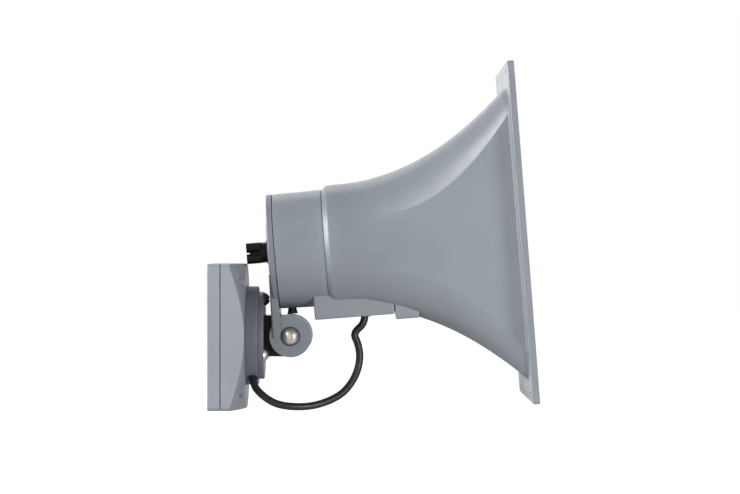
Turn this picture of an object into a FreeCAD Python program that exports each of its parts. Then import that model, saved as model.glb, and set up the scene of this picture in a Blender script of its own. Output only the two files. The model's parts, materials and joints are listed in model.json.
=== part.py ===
import FreeCAD, Part
import math
import os

# A weatherproof paging horn on a swivelling wall base, in millimetres.
# Origin: centre of the base's rear face, which lies on the wall.
# +X points out of the wall towards the mouth, +Z up. It is mirror-like about the plane Y = 0,
# except for its lead, which leaves the turntable on the -Y side.

V = FreeCAD.Vector
X_AXIS = V(1, 0, 0)
Y_AXIS = V(0, 1, 0)
Z_AXIS = V(0, 0, 1)

# ---- Driving dimensions: wall base ----
BASE_SIDE = 127.0
BASE_DEPTH = 31.8
BASE_CORNER = 4.0            # rounding of the four edges that run along X
BASE_FALL = 0.508            # the front falls back this much per mm outside the flat disc
BASE_FLAT_R = 63.5           # radius of the flat disc on the front
BASE_WALL = 2.8
BASE_SPLIT = 10.9            # rear tray up to here
GASKET_THICK = 0.8
COVER_SCREW_AT = 47.5        # Y and Z of the cover screws
WALL_SCREW_Y = 35.0
WALL_SCREW_Z = 48.0
WALL_SCREW_R = 2.75
INLET_Z = -38.0
INLET_R = 4.0

# ---- Driving dimensions: turntable ----
RING_R = 43.5
RING_FRONT = 42.5
PLATE_R = 38.5
PLATE_FRONT = 47.5
SPIGOT_R = 18.0
SPIGOT_BORE = 13.0
RUN_GAP = 0.3                # between parts that turn against each other
FIT_GAP = 0.05               # radial clearance of a running fit
SCREW_CIRCLE_R = 32.0
LEAD_EXIT_ANGLE = 33.0       # of the lead's hole, from straight down towards -Y
LEAD_EXIT_X = 38.0

# ---- Driving dimensions: pivot and tilt arm ----
PIVOT_X = 71.0
HORN_RISE = 75.0             # from the pivot to the horn's axis
HORN_TILT = 4.4              # degrees, nose up
LUG_HALF = 17.0              # half the lug's width
LUG_R = 18.0
EAR_R = 18.4
EAR_IN = 18.5
EAR_OUT = 27.0
BAR_HALF = 29.0
BOLT_R = 5.0
ARM_FRONT = -8.1             # along the horn's axis, from the pivot
ARM_PLATE_REAR = -12.8
ARM_PLATE_R = 50.6
BOSS_REAR = -14.5
BAR_REAR = -16.0
STUD_R = 3.95
STUD_BORE = 4.0

# ---- Driving dimensions: horn ----
HOUSING_REAR = -7.9
HOUSING_FRONT = 35.4
HOUSING_REAR_R = 50.6
HOUSING_FRONT_R = 51.5
CAST_WALL = 3.0
BELL_REAR = 36.2
NECK_START = 40.3
FLARE_START = 50.0
NECK_R = 55.2
MOUTH = 203.0
FLANGE_THICK = 6.0
MOUTH_HALF_HEIGHT = 127.0
MOUTH_HALF_WIDTH = 88.0
FLARE_POWER = 2.05
FLANGE_HALF_HEIGHT = 146.0
FLANGE_HALF_WIDTH = 105.0
PANEL_START = 80.0           # where the flat side panels begin
CORNER_MID = 38.0
CORNER_MOUTH = 23.0
FLANGE_HOLE_R = 2.6
FLANGE_HOLE_INSET = 7.5
FLANGE_HOLE_Y = 70.0
THROAT_R = 10.2
REFLECTOR_R = 37.0

# ---- Driving dimensions: lead ----
LEAD_R = 3.3
GROMMET_BORE = 3.2
GROMMET_R = 4.1
COVER_HALF = 30.0
COVER_START = 22.5
COVER_END = 92.6
COVER_DEPTH = 62.4           # below the horn's axis
COVER_WALL = 2.5
LEAD_HOLE_U = 66.8
COVER_SCREWS = ((44.0, -53.2), (84.0, -56.8))    # place along the horn, and height of the tip

# The lead's route, from the turntable's rim to the lead cover. It is in two lengths that meet at
# LEAD_JOIN, halfway along a straight run.
LEAD_RUN_A = V(94.5, -23.0, -60.6)
LEAD_RUN_B = V(113.5, -13.5, -53.3)
LEAD_JOIN = (LEAD_RUN_A + LEAD_RUN_B) * 0.5
LEAD_LOWER_ROUTE = [
    V(38.0, -21.24, -32.71),
    V(38.0, -27.23, -41.93),
    V(45.8, -30.5, -51.2),
    V(58.5, -31.5, -59.4),
    V(76.5, -29.5, -61.9),
    LEAD_RUN_A,
    LEAD_JOIN,
]
LEAD_UPPER_ROUTE = [
    LEAD_JOIN,
    LEAD_RUN_B,
    V(123.9, -7.5, -42.8),
    V(129.9, -3.2, -30.6),
    V(132.0, -1.0, -18.3),
    V(129.9, 0.0, -6.6),
    V(125.5, 0.0, 2.0),
    V(136.9, 0.0, 11.5),
    V(136.2, 0.0, 23.0),
]


# ---- Solids along the X axis ----
def rod(radius, x0, x1, y=0.0, z=0.0):
    return Part.makeCylinder(radius, x1 - x0, V(x0, y, z), X_AXIS)


def pipe(outer, inner, x0, x1, y=0.0, z=0.0):
    return rod(outer, x0, x1, y, z).cut(rod(inner, x0, x1, y, z))


def block(x0, x1, y0, y1, z0, z1):
    return Part.makeBox(x1 - x0, y1 - y0, z1 - z0, V(x0, y0, z0))


def slab(x0, x1, half_y, half_z):
    return block(x0, x1, -half_y, half_y, -half_z, half_z)


def turned(profile):
    """A solid of revolution about the X axis, from (x, radius) points."""
    points = [V(x, 0, r) for x, r in profile]
    face = Part.Face(Part.makePolygon(points + points[:1]))
    return face.revolve(V(0, 0, 0), X_AXIS, 360)


def pin_y(radius, y0, y1, x=0.0, z=0.0):
    return Part.makeCylinder(radius, y1 - y0, V(x, y0, z), Y_AXIS)


def rod_down(radius, top, bottom, x, y=0.0):
    return Part.makeCylinder(radius, top - bottom, V(x, y, bottom), Z_AXIS)


def prism_y(outline, y0, y1):
    """A solid with an outline of (x, z) points, from y0 to y1."""
    points = [V(x, y0, z) for x, z in outline]
    return Part.Face(Part.makePolygon(points + points[:1])).extrude(V(0, y1 - y0, 0))


def hexagon_y(across_flats, y0, y1, x=0.0, z=0.0):
    radius = across_flats / math.sqrt(3)
    corners = [math.radians(60 * i) for i in range(6)]
    return prism_y([(x + radius * math.cos(a), z + radius * math.sin(a)) for a in corners], y0, y1)


def domed_head(radius, height, x):
    """A screw's domed head on the X axis, standing on the plane at x."""
    sphere_r = (radius * radius + height * height) / (2 * height)
    ball = Part.makeSphere(sphere_r, V(x + height - sphere_r, 0, 0))
    return ball.common(rod(radius, x, x + height))


def joined(shapes):
    shapes = list(shapes)
    return shapes[0].multiFuse(shapes[1:]).removeSplitter() if len(shapes) > 1 else shapes[0]


def group(shapes):
    return Part.makeCompound(list(shapes))


def moved(shape, x=0.0, y=0.0, z=0.0):
    copy = shape.copy()
    copy.translate(V(x, y, z))
    return copy


def rounded(shape, radius, wanted):
    """The shape with a fillet on every edge for which wanted(edge) is true."""
    return shape.makeFillet(radius, [e for e in shape.Edges if wanted(e)])


def round_edge_at(x, radius):
    """Picks the circle of that radius at that x."""
    def wanted(edge):
        is_circle = isinstance(edge.Curve, Part.Circle)
        return is_circle and abs(edge.Curve.Radius - radius) < 1e-4 and abs(edge.Curve.Center.x - x) < 1e-4
    return wanted


# ---- Placing ----
def on_pivot(shape):
    """From the tilted frame at the pivot (x along the horn's axis) to the row's frame."""
    copy = shape.copy()
    copy.rotate(V(0, 0, 0), Y_AXIS, -HORN_TILT)
    copy.translate(V(PIVOT_X, 0, 0))
    return copy


def on_horn(shape):
    """From the horn's own frame (x along its axis) to the row's frame."""
    return on_pivot(moved(shape, z=HORN_RISE))


def from_horn_frame(point):
    tilt = math.radians(HORN_TILT)
    rise = point.z + HORN_RISE
    return V(PIVOT_X + point.x * math.cos(tilt) - rise * math.sin(tilt), point.y,
             point.x * math.sin(tilt) + rise * math.cos(tilt))


def corners_of(half_y, half_z):
    return [(sy * half_y, sz * half_z) for sy in (-1, 1) for sz in (-1, 1)]


# ---- Tube along straight runs and tangent arcs ----
def bend_radius(before, at, after):
    a, b = at - before, after - at
    return 0.45 * min(a.Length, b.Length) / math.tan(a.getAngle(b) / 2)


def tube_along(route, radius, name=None):
    edges, start, radii = [], route[0], []
    for before, at, after in zip(route, route[1:], route[2:]):
        a, b = at - before, after - at
        turn, bend = a.getAngle(b), bend_radius(before, at, after)
        set_back = bend * math.tan(turn / 2)
        a.normalize()
        b.normalize()
        arc_in, arc_out = at - a * set_back, at + b * set_back
        inward = b - a
        inward.normalize()
        middle = at + inward * (bend / math.cos(turn / 2) - bend)
        edges += [Part.LineSegment(start, arc_in).toShape(), Part.Arc(arc_in, middle, arc_out).toShape()]
        start = arc_out
        radii.append(bend)
    edges.append(Part.LineSegment(start, route[-1]).toShape())
    path = Part.Wire(edges)
    section = Part.Wire([Part.Circle(route[0], route[1] - route[0], radius).toShape()])
    solid = path.makePipeShell([section], True, False)
    if name:
        expected = math.pi * radius ** 2 * path.Length
        print(name, "length %.1f mm," % path.Length, "bend radii", ["%.1f" % r for r in radii],
              "volume / expected %.4f" % (solid.Volume / expected))
    return solid


# ---- Wall base ----
def base_outline(inset):
    """The closed box's shape, with all its walls moved inwards by inset."""
    half = BASE_SIDE / 2 - inset
    front = BASE_DEPTH - inset
    far = BASE_SIDE
    box = slab(inset, front, half, half)
    box = rounded(box, max(BASE_CORNER - inset, 1.0), lambda e: abs(e.tangentAt(e.FirstParameter).x) > 0.99)
    fall = turned([(-1, 0), (-1, far), (front - BASE_FALL * (far - BASE_FLAT_R), far),
                   (front, BASE_FLAT_R), (front, 0)])
    return box.common(fall)


def slice_of(shape, x0, x1):
    return shape.common(slab(x0, x1, BASE_SIDE, BASE_SIDE))


COVER_REAR = BASE_SPLIT + GASKET_THICK
SCREW_SEAT = 23.5            # X of the cover screws' heads
WALL_INNER = BASE_WALL


def base_plate():
    tray = slice_of(base_outline(0), 0, BASE_SPLIT)
    tray = rounded(tray, 1.2, lambda e: e.BoundBox.XMax < 1e-6)
    tray = tray.cut(slice_of(base_outline(BASE_WALL), WALL_INNER, BASE_SPLIT))
    posts = [rod(5.0, 0.5, COVER_REAR, y, z) for y, z in corners_of(COVER_SCREW_AT, COVER_SCREW_AT)]
    pads = [rod(6.0, 0.5, 5.0, y, z) for y, z in corners_of(WALL_SCREW_Y, WALL_SCREW_Z)]
    tray = joined([tray] + posts + pads)
    for y, z in corners_of(COVER_SCREW_AT, COVER_SCREW_AT):
        tray = tray.cut(rod(2.1, 4.5, COVER_REAR, y, z))
    for y, z in corners_of(WALL_SCREW_Y, WALL_SCREW_Z):
        tray = tray.cut(rod(WALL_SCREW_R, 0, 5.0, y, z))
    return tray.cut(rod(INLET_R + 3.5, 0, WALL_INNER, 0, INLET_Z))


def base_gasket():
    frame = slice_of(base_outline(0.6), BASE_SPLIT, COVER_REAR)
    return frame.cut(slice_of(base_outline(BASE_WALL), BASE_SPLIT, COVER_REAR))


def base_cover():
    outline = base_outline(0)
    shell = slice_of(outline, COVER_REAR, BASE_DEPTH).cut(slice_of(base_outline(BASE_WALL), 0, BASE_DEPTH))
    posts = [slice_of(outline.common(rod(7.0, 0, BASE_DEPTH, y, z)), COVER_REAR, BASE_DEPTH)
             for y, z in corners_of(COVER_SCREW_AT, COVER_SCREW_AT)]
    shell = joined([shell] + posts)
    for y, z in corners_of(COVER_SCREW_AT, COVER_SCREW_AT):
        shell = shell.cut(rod(2.2, COVER_REAR, SCREW_SEAT, y, z))
        shell = shell.cut(rod(5.2, SCREW_SEAT, BASE_DEPTH, y, z))
    return shell.cut(rod(SPIGOT_R + FIT_GAP, 0, BASE_DEPTH))


def cover_screws():
    screw = joined([domed_head(4.2, 2.8, SCREW_SEAT), rod(2.0, 5.0, SCREW_SEAT + 0.5)])
    screw = screw.cut(slab(SCREW_SEAT + 1.4, SCREW_SEAT + 4, 3.0, 0.5))
    screw = screw.cut(slab(SCREW_SEAT + 1.4, SCREW_SEAT + 4, 0.5, 3.0))
    return group(moved(screw, y=y, z=z) for y, z in corners_of(COVER_SCREW_AT, COVER_SCREW_AT))


def cable_inlet_grommet():
    outer = joined([rod(INLET_R + 3.5, 0.3, WALL_INNER + 1.0, 0, INLET_Z),
                    rod(INLET_R + 5.5, WALL_INNER, WALL_INNER + 2.0, 0, INLET_Z)])
    return outer.cut(rod(INLET_R, 0, WALL_INNER + 3.0, 0, INLET_Z))


CORE_HALF_Y = 20.0
CORE_Z0, CORE_Z1 = 0.0, 34.0
CORE_X0, CORE_X1 = 6.0, 16.0
LEG = 5.0


def transformer_core():
    core = block(CORE_X0, CORE_X1, -CORE_HALF_Y, CORE_HALF_Y, CORE_Z0, CORE_Z1)
    for side in (-1, 1):
        y0, y1 = sorted((side * LEG, side * (CORE_HALF_Y - LEG)))
        core = core.cut(block(CORE_X0, CORE_X1, y0, y1, CORE_Z0 + LEG, CORE_Z1 - LEG))
    feet = [block(WALL_INNER, CORE_X0, s * CORE_HALF_Y - 2.5, s * CORE_HALF_Y + 2.5, z, z + 6)
            for s in (-0.875, 0.875) for z in (CORE_Z0, CORE_Z1 - 6)]
    return joined([core] + feet)


def transformer_winding():
    coil = block(CORE_X0 - 2.6, CORE_X1 + 2.6, -CORE_HALF_Y + LEG + 1, CORE_HALF_Y - LEG - 1,
                 CORE_Z0 + LEG + 1, CORE_Z1 - LEG - 1)
    coil = rounded(coil, 2.0, lambda e: abs(e.tangentAt(e.FirstParameter).z) > 0.99)
    return coil.cut(block(CORE_X0, CORE_X1, -LEG, LEG, CORE_Z0, CORE_Z1))


BOARD_X = 8.0
BOARD_THICK = 1.6
BOARD_Y0, BOARD_Y1 = -57.0, -27.0
BOARD_HALF_Z = 27.0


def circuit_board():
    return block(BOARD_X, BOARD_X + BOARD_THICK, BOARD_Y0, BOARD_Y1, -BOARD_HALF_Z, BOARD_HALF_Z)


def board_standoffs():
    return group(rod(2.5, WALL_INNER, BOARD_X, y, z) for y in (BOARD_Y0 + 4, BOARD_Y1 - 4)
                 for z in (4 - BOARD_HALF_Z, BOARD_HALF_Z - 4))


TERMINAL_X0, TERMINAL_X1 = BOARD_X + BOARD_THICK, 20.0
TERMINAL_Y0, TERMINAL_Y1 = -51.0, -39.0
TERMINAL_PITCH = 9.0


def terminal_places():
    return [(i - 1.5) * TERMINAL_PITCH for i in range(4)]


def terminal_block():
    body = block(TERMINAL_X0, TERMINAL_X1, TERMINAL_Y0, TERMINAL_Y1, -2 * TERMINAL_PITCH, 2 * TERMINAL_PITCH)
    middle = (TERMINAL_Y0 + TERMINAL_Y1) / 2
    for z in terminal_places():
        body = body.cut(rod(3.0, TERMINAL_X1 - 4, TERMINAL_X1, middle, z))
        body = body.cut(pin_y(1.8, middle, TERMINAL_Y1, TERMINAL_X0 + 3, z))
    return body


def terminal_screws():
    middle = (TERMINAL_Y0 + TERMINAL_Y1) / 2
    screw = rod(2.6, TERMINAL_X1 - 4, TERMINAL_X1 - 1.5).cut(slab(TERMINAL_X1 - 2.4, TERMINAL_X1, 0.4, 3))
    return group(moved(screw, y=middle, z=z) for z in terminal_places())


# ---- Turntable ----
RING_REAR = BASE_DEPTH + RUN_GAP
O_RING_R = 28.0
O_RING_WIRE_R = 1.2


def at_lead_exit(shape):
    """Turns a shape that stands along +Z about the X axis, to the lead's hole in the rim."""
    copy = shape.copy()
    copy.rotate(V(0, 0, 0), X_AXIS, 180 - LEAD_EXIT_ANGLE)
    copy.translate(V(LEAD_EXIT_X, 0, 0))
    return copy


def turntable_ring():
    ring = joined([rod(RING_R, RING_REAR, RING_FRONT), rod(SPIGOT_R, 20.0, RING_REAR + 1)])
    ring = rounded(ring, 1.5, round_edge_at(RING_FRONT, RING_R))
    ring = ring.cut(rod(SPIGOT_BORE, 0, RING_FRONT))
    groove = pipe(O_RING_R + 1.5, O_RING_R - 1.5, RING_REAR, BASE_DEPTH + 0.1 + 2 * O_RING_WIRE_R)
    ring = ring.cut(groove)
    for y, z in turntable_screw_places():
        ring = ring.cut(rod(2.1, RING_FRONT - 8, RING_FRONT, y, z))
    return ring.cut(at_lead_exit(rod_down(GROMMET_R, RING_R + 2, 10.0, 0)))


def turntable_screw_places():
    angles = [math.radians(a) for a in (90, 210, 330)]
    return [(SCREW_CIRCLE_R * math.cos(a), SCREW_CIRCLE_R * math.sin(a)) for a in angles]


def turntable_plate():
    plate = rounded(rod(PLATE_R, RING_FRONT, PLATE_FRONT), 1.5, round_edge_at(PLATE_FRONT, PLATE_R))
    for y, z in turntable_screw_places():
        plate = plate.cut(rod(2.2, RING_FRONT, PLATE_FRONT, y, z))
    for z in LUG_SCREW_Z:
        plate = plate.cut(rod(2.7, RING_FRONT, PLATE_FRONT, 0, z))
    return plate


def turntable_screws():
    screw = joined([domed_head(5.8, 4.6, PLATE_FRONT), rod(2.0, RING_FRONT - 7, PLATE_FRONT + 0.5)])
    socket = slab(PLATE_FRONT + 3.0, PLATE_FRONT + 6, 0.6, 3.2)
    screw = screw.cut(socket).cut(slab(PLATE_FRONT + 3.0, PLATE_FRONT + 6, 3.2, 0.6))
    return group(moved(screw, y=y, z=z) for y, z in turntable_screw_places())


def turntable_retainer():
    wall = BASE_DEPTH - BASE_WALL
    return pipe(26.0, SPIGOT_R, wall - RUN_GAP - 3.0, wall - RUN_GAP)


def swivel_o_ring():
    return Part.makeTorus(O_RING_R, O_RING_WIRE_R, V(BASE_DEPTH + 0.1 + O_RING_WIRE_R, 0, 0), X_AXIS)


LUG_SCREW_Z = (-8.0, 8.0)


def pivot_lug():
    stem = block(PLATE_FRONT, PIVOT_X, -LUG_HALF, LUG_HALF, -LUG_R, LUG_R)
    lug = joined([stem, pin_y(LUG_R, -LUG_HALF, LUG_HALF, PIVOT_X)])
    lug = lug.cut(pin_y(BOLT_R + 1.5, -LUG_HALF, LUG_HALF, PIVOT_X))
    for z in LUG_SCREW_Z:
        lug = lug.cut(rod(2.6, PLATE_FRONT, PLATE_FRONT + 12, 0, z))
    return lug


def lug_screws():
    screw = joined([rod(4.2, RING_FRONT - 3, RING_FRONT), rod(2.5, RING_FRONT - 1, PLATE_FRONT + 11)])
    return group(moved(screw, z=z) for z in LUG_SCREW_Z)


def pivot_bush():
    return pin_y(BOLT_R + 1.5, -LUG_HALF, LUG_HALF, PIVOT_X).cut(
        pin_y(BOLT_R + FIT_GAP, -LUG_HALF, LUG_HALF, PIVOT_X))


def grommet(face, inside):
    """A rubber grommet on the Z axis: its collar stands above face, its body goes inside."""
    outer = joined([rod_down(GROMMET_R, face + 0.5, face - inside, 0),
                    rod_down(GROMMET_R + 0.6, face + 1.0, face + 0.1, 0)])
    return outer.cut(rod_down(GROMMET_BORE, face + 3, face - inside, 0))


def lead_grommet_lower():
    return at_lead_exit(grommet(RING_R, 6.0))


def lead_lower():
    return tube_along(LEAD_LOWER_ROUTE, LEAD_R, "lead_lower")


# ---- Tilt arm and its pivot, in the tilted frame at the pivot ----
WEB_FOOT = 19.6              # the fork's gap reaches this high, just over the lug


def tilt_arm():
    plate = moved(rod(ARM_PLATE_R, ARM_PLATE_REAR, ARM_FRONT), z=HORN_RISE)
    plate = rounded(plate, 1.0, lambda e: isinstance(e.Curve, Part.Circle)
                    and abs(e.Curve.Center.x - ARM_PLATE_REAR) < 1e-4)
    boss = moved(Part.makeCone(27.0, 31.0, ARM_PLATE_REAR - BOSS_REAR, V(BOSS_REAR, 0, 0), X_AXIS), z=HORN_RISE)
    bar = prism_y([(ARM_FRONT, 0), (ARM_FRONT, HORN_RISE), (BOSS_REAR, HORN_RISE), (BAR_REAR, 0)],
                  -BAR_HALF, BAR_HALF)
    bar = rounded(bar, 2.0, lambda e: e.Length > 60 and e.CenterOfMass.x < ARM_FRONT - 4)
    top = block(-30, 0, -40, 40, HORN_RISE - 20, HORN_RISE + 2)
    bar = bar.cut(top)
    ears = []
    for y0, y1 in ((-EAR_OUT, -EAR_IN), (EAR_IN, EAR_OUT)):
        ear = joined([pin_y(EAR_R, y0, y1), block(ARM_FRONT - 4, 0, y0, y1, 0, EAR_R)])
        ears.append(ear)
    arm = joined([plate, boss, bar] + ears)
    arm = arm.cut(block(-EAR_R - 5, EAR_R + 5, -EAR_IN, EAR_IN, -EAR_R - 5, WEB_FOOT))
    arm = arm.cut(moved(rod(STUD_BORE + 0.3, -30, 0), z=HORN_RISE))
    arm = arm.cut(pin_y(WASHER_R + 0.5, -EAR_OUT - 5, -EAR_OUT))
    arm = arm.cut(pin_y(9.6, EAR_OUT, EAR_OUT + 5))         # clears the nut's corners
    arm = arm.cut(pin_y(BOLT_R + 0.1, -EAR_OUT - 5, EAR_OUT + 5))
    return on_pivot(arm)


WASHER_THICK = 1.2
WASHER_R = 8.3
HEAD_Y = EAR_OUT + WASHER_THICK
NUT_THICK = 8.0


def pivot_bolt():
    head = domed_head(7.6, 5.0, 0)
    head.rotate(V(0, 0, 0), Z_AXIS, -90)
    head.translate(V(0, -HEAD_Y, 0))
    bolt = joined([head, pin_y(BOLT_R, -HEAD_Y - 0.5, HEAD_Y + NUT_THICK + 1.5)])
    return on_pivot(bolt.cut(hexagon_y(5.5, -HEAD_Y - 6, -HEAD_Y - 1.8)))


def pivot_washers():
    washer = pin_y(WASHER_R, EAR_OUT, HEAD_Y).cut(pin_y(BOLT_R + 0.1, EAR_OUT, HEAD_Y))
    return group([on_pivot(washer), on_pivot(moved(washer, y=-EAR_OUT - HEAD_Y))])


def friction_washers():
    y0, y1 = LUG_HALF + 0.1, EAR_IN
    washer = pin_y(15.0, y0, y1).cut(pin_y(BOLT_R + 0.1, y0, y1))
    return group([on_pivot(washer), on_pivot(moved(washer, y=-y0 - y1))])


def pivot_nut():
    nut = hexagon_y(16.0, HEAD_Y, HEAD_Y + NUT_THICK)
    return on_pivot(nut.cut(pin_y(BOLT_R + 0.02, HEAD_Y, HEAD_Y + NUT_THICK)))


# ---- Clamp knob, in the horn's frame ----
KNOB_FRONT = -16.0
KNOB_NECK = -21.0
KNOB_REAR = -33.7
KNOB_R = 9.2                 # of the collar
KNOB_CORE_REAR = -31.0
LOBE_R = 4.3
LOBE_AT = 4.9                # height and side of each of the four lobes


def clamp_washer():
    return on_horn(pipe(10.6, STUD_BORE + 0.3, KNOB_FRONT + 0.1, BOSS_REAR))


def clamp_knob():
    lobes = [rod(LOBE_R, KNOB_REAR, KNOB_NECK, y, z) for y, z in corners_of(LOBE_AT, LOBE_AT)]
    knob = joined([rod(6.4, KNOB_CORE_REAR, KNOB_NECK), rod(KNOB_R - 0.2, KNOB_NECK, KNOB_FRONT)] + lobes)
    return on_horn(knob.cut(rod(STUD_BORE, KNOB_CORE_REAR + 2, KNOB_FRONT)))


def clamp_stud():
    return on_horn(rod(STUD_R, KNOB_CORE_REAR + 2, 3.0))


# ---- Driver housing, in the horn's frame ----
INSERT_R = 7.0
WIRE_HOLE_U = 29.0
TAP_PLUG_U = 2.7


def driver_housing():
    shell = turned([(HOUSING_REAR, INSERT_R), (HOUSING_REAR, HOUSING_REAR_R - 1.0),
                    (HOUSING_REAR + 1.0, HOUSING_REAR_R), (HOUSING_FRONT, HOUSING_FRONT_R),
                    (HOUSING_FRONT, HOUSING_FRONT_R - CAST_WALL),
                    (HOUSING_REAR + 4.0, HOUSING_REAR_R - CAST_WALL), (HOUSING_REAR + 4.0, INSERT_R)])
    posts = [rod(3.6, HOUSING_REAR + 3.0, HOUSING_FRONT, y, z) for y, z in housing_screw_places()]
    shell = joined([shell] + posts)
    for y, z in housing_screw_places():
        shell = shell.cut(rod(1.6, HOUSING_FRONT - 15, HOUSING_FRONT, y, z))
    shell = shell.cut(rod_down(5.0, -40, -60, WIRE_HOLE_U))
    return on_horn(shell.cut(rod_down(3.5, -40, -60, TAP_PLUG_U)))


def housing_screw_places():
    angles = [math.radians(a) for a in (45, 135, 225, 315)]
    return [(44.3 * math.cos(a), 44.3 * math.sin(a)) for a in angles]


def housing_screws():
    screw = joined([rod(3.2, NECK_WALL, NECK_WALL + 2.2), rod(1.5, HOUSING_FRONT - 14, NECK_WALL + 1)])
    return group(on_horn(moved(screw, y=y, z=z)) for y, z in housing_screw_places())


def housing_insert():
    return on_horn(joined([pipe(INSERT_R, STUD_BORE, HOUSING_REAR, 4.0),
                           pipe(INSERT_R + 2.5, STUD_BORE, HOUSING_REAR + 4.0, HOUSING_REAR + 6.5)]))


def housing_gasket():
    return on_horn(pipe(HOUSING_FRONT_R - 0.5, HOUSING_FRONT_R - CAST_WALL, HOUSING_FRONT, BELL_REAR))


def tap_plug():
    inside = rod_down(3.4, -46.5, -51.5, TAP_PLUG_U)
    outside = Part.makeCone(4.7, 3.6, 5.0, V(TAP_PLUG_U, 0, -55.95), Z_AXIS)
    return on_horn(joined([inside, outside]))


# ---- Bell, in the horn's frame ----
NECK_WALL = 40.2             # the inner face of the bell's rear wall
BELL_SECTIONS = tuple(FLARE_START + (MOUTH - FLARE_START) * i / 17 for i in range(18))


ROUND_FLAT = 2.5             # half the straight edges of a section that is as good as round


def flare(u):
    """How far the bell has opened at u, from 0 at the neck to 1 at the mouth."""
    return (max(u - FLARE_START, 0.0) / (MOUTH - FLARE_START)) ** FLARE_POWER


def half_height(u):
    return NECK_R + (MOUTH_HALF_HEIGHT - NECK_R) * flare(u)


def half_width(u):
    return NECK_R + (MOUTH_HALF_WIDTH - NECK_R) * flare(u)


def corner_radius(u):
    """Round at the neck, and from where the side panels begin a rounded rectangle."""
    round_r = half_width(u) - ROUND_FLAT
    if u <= PANEL_START:
        return round_r
    along = (u - PANEL_START) / (MOUTH - PANEL_START)
    panel_r = CORNER_MID + (CORNER_MOUTH - CORNER_MID) * along ** 2.2
    blend = math.exp(-((u - PANEL_START) / 16.0) ** 1.5)
    return round_r * blend + panel_r * (1 - blend)


def bell_section(u, outset):
    """The bell's outline at u, moved outwards by outset."""
    return outline_at(u, *(f(u) + outset for f in (half_height, half_width, corner_radius)))


def round_section(u, radius):
    """As good as a circle, with the same edges as the bell's outline."""
    return outline_at(u, radius, radius, radius - ROUND_FLAT)


def outline_at(u, height, width, corner):
    """A rounded rectangle in the plane at u, of four arcs and four straight edges."""
    flat_z, flat_y, diagonal = height - corner, width - corner, corner * math.sqrt(0.5)
    edges = []
    for sy, sz in ((1, 1), (-1, 1), (-1, -1), (1, -1)):
        side = V(u, sy * width, sz * flat_z)
        middle = V(u, sy * (flat_y + diagonal), sz * (flat_z + diagonal))
        top = V(u, sy * flat_y, sz * height)
        first, last = (side, top) if sy * sz > 0 else (top, side)
        edges.append((first, middle, last))
    wires = []
    for (first, middle, last), (following, _, _) in zip(edges, edges[1:] + edges[:1]):
        wires += [Part.Arc(first, middle, last).toShape(), Part.LineSegment(last, following).toShape()]
    return Part.Wire(wires)


def flare_solid(outset, sections=BELL_SECTIONS):
    return Part.makeLoft([bell_section(u, outset) for u in sections], True, False)


TONGUE_START, TONGUE_END = 93.2, 114.0
TONGUE_DEPTH = 67.2
TONGUE_HALF = 31.0


def neck_solid(outset):
    return Part.makeLoft([round_section(BELL_REAR, HOUSING_FRONT_R + outset),
                          round_section(NECK_START, NECK_R - 0.3 + outset),
                          round_section(FLARE_START, NECK_R + outset)], True, True)


def bell_outside():
    return neck_solid(0).fuse(flare_solid(0))


def bell():
    outside = bell_outside()
    tongue = block(TONGUE_START, TONGUE_END, -TONGUE_HALF, TONGUE_HALF, -TONGUE_DEPTH, -50)
    flange = slab(MOUTH, MOUTH + FLANGE_THICK, FLANGE_HALF_WIDTH, FLANGE_HALF_HEIGHT)
    flange = rounded(flange, 1.2, lambda e: abs(e.tangentAt(e.FirstParameter).x) > 0.99)
    outside = joined([outside, tongue, flange])
    inner_sections = BELL_SECTIONS + (MOUTH + FLANGE_THICK + 1,)
    bowl = Part.makeLoft([round_section(u, NECK_R - CAST_WALL) for u in (NECK_WALL, FLARE_START)], True, True)
    inside = bowl.fuse(flare_solid(-CAST_WALL, inner_sections))
    shape = outside.cut(inside).cut(rod(THROAT_R, BELL_REAR - 1, NECK_WALL + 1))
    for y, z in corners_of(FLANGE_HOLE_Y, FLANGE_HALF_HEIGHT - FLANGE_HOLE_INSET):
        shape = shape.cut(rod(FLANGE_HOLE_R, MOUTH - 1, MOUTH + FLANGE_THICK + 1, y, z))
    for y, z in housing_screw_places():
        shape = shape.cut(rod(1.7, BELL_REAR - 1, NECK_WALL + 1, y, z))
    for y, z in driver_screw_places():
        shape = shape.cut(rod(1.6, BELL_REAR - 1, BELL_REAR + 3, y, z))
    for u, tip in COVER_SCREWS:
        shape = shape.cut(rod_down(1.6, tip + 0.1, -COVER_DEPTH, u))
    return on_horn(shape)


# ---- Folded sound path inside the bell, in the horn's frame ----
TUBE_END = 140.0


def throat_outer():
    return turned([(NECK_WALL, 0), (NECK_WALL, 26), (NECK_WALL + 2.5, 26), (NECK_WALL + 2.5, 14),
                   (TUBE_END, 24), (TUBE_END, 0)])


def throat_tube():
    bore = turned([(NECK_WALL - 1, 0), (NECK_WALL - 1, THROAT_R), (TUBE_END + 1, 21.8), (TUBE_END + 1, 0)])
    return on_horn(throat_outer().cut(bore))


def dome_profile(radius, start, straight_end, tip):
    """(x, radius) points of a cup that is round in front, closed on the axis."""
    steps = 12
    curve = [(straight_end + (tip - straight_end) * math.sin(a), radius * math.cos(a))
             for a in (math.pi / 2 * i / steps for i in range(steps))]
    return [(start, 0), (start, radius)] + curve + [(tip, 0)]


def reflector():
    outer = turned(dome_profile(REFLECTOR_R, 78, 128, 170))
    cup = outer.cut(turned(dome_profile(REFLECTOR_R - 2.5, 77, 128, 167.5)))
    ribs = []
    for angle in (30, 150, 270):
        rib = block(92, 118, -1.5, 1.5, 10, REFLECTOR_R - 1)
        rib.rotate(V(0, 0, 0), X_AXIS, angle)
        ribs.append(rib.cut(throat_outer()))
    return on_horn(joined([cup] + ribs))


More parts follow.
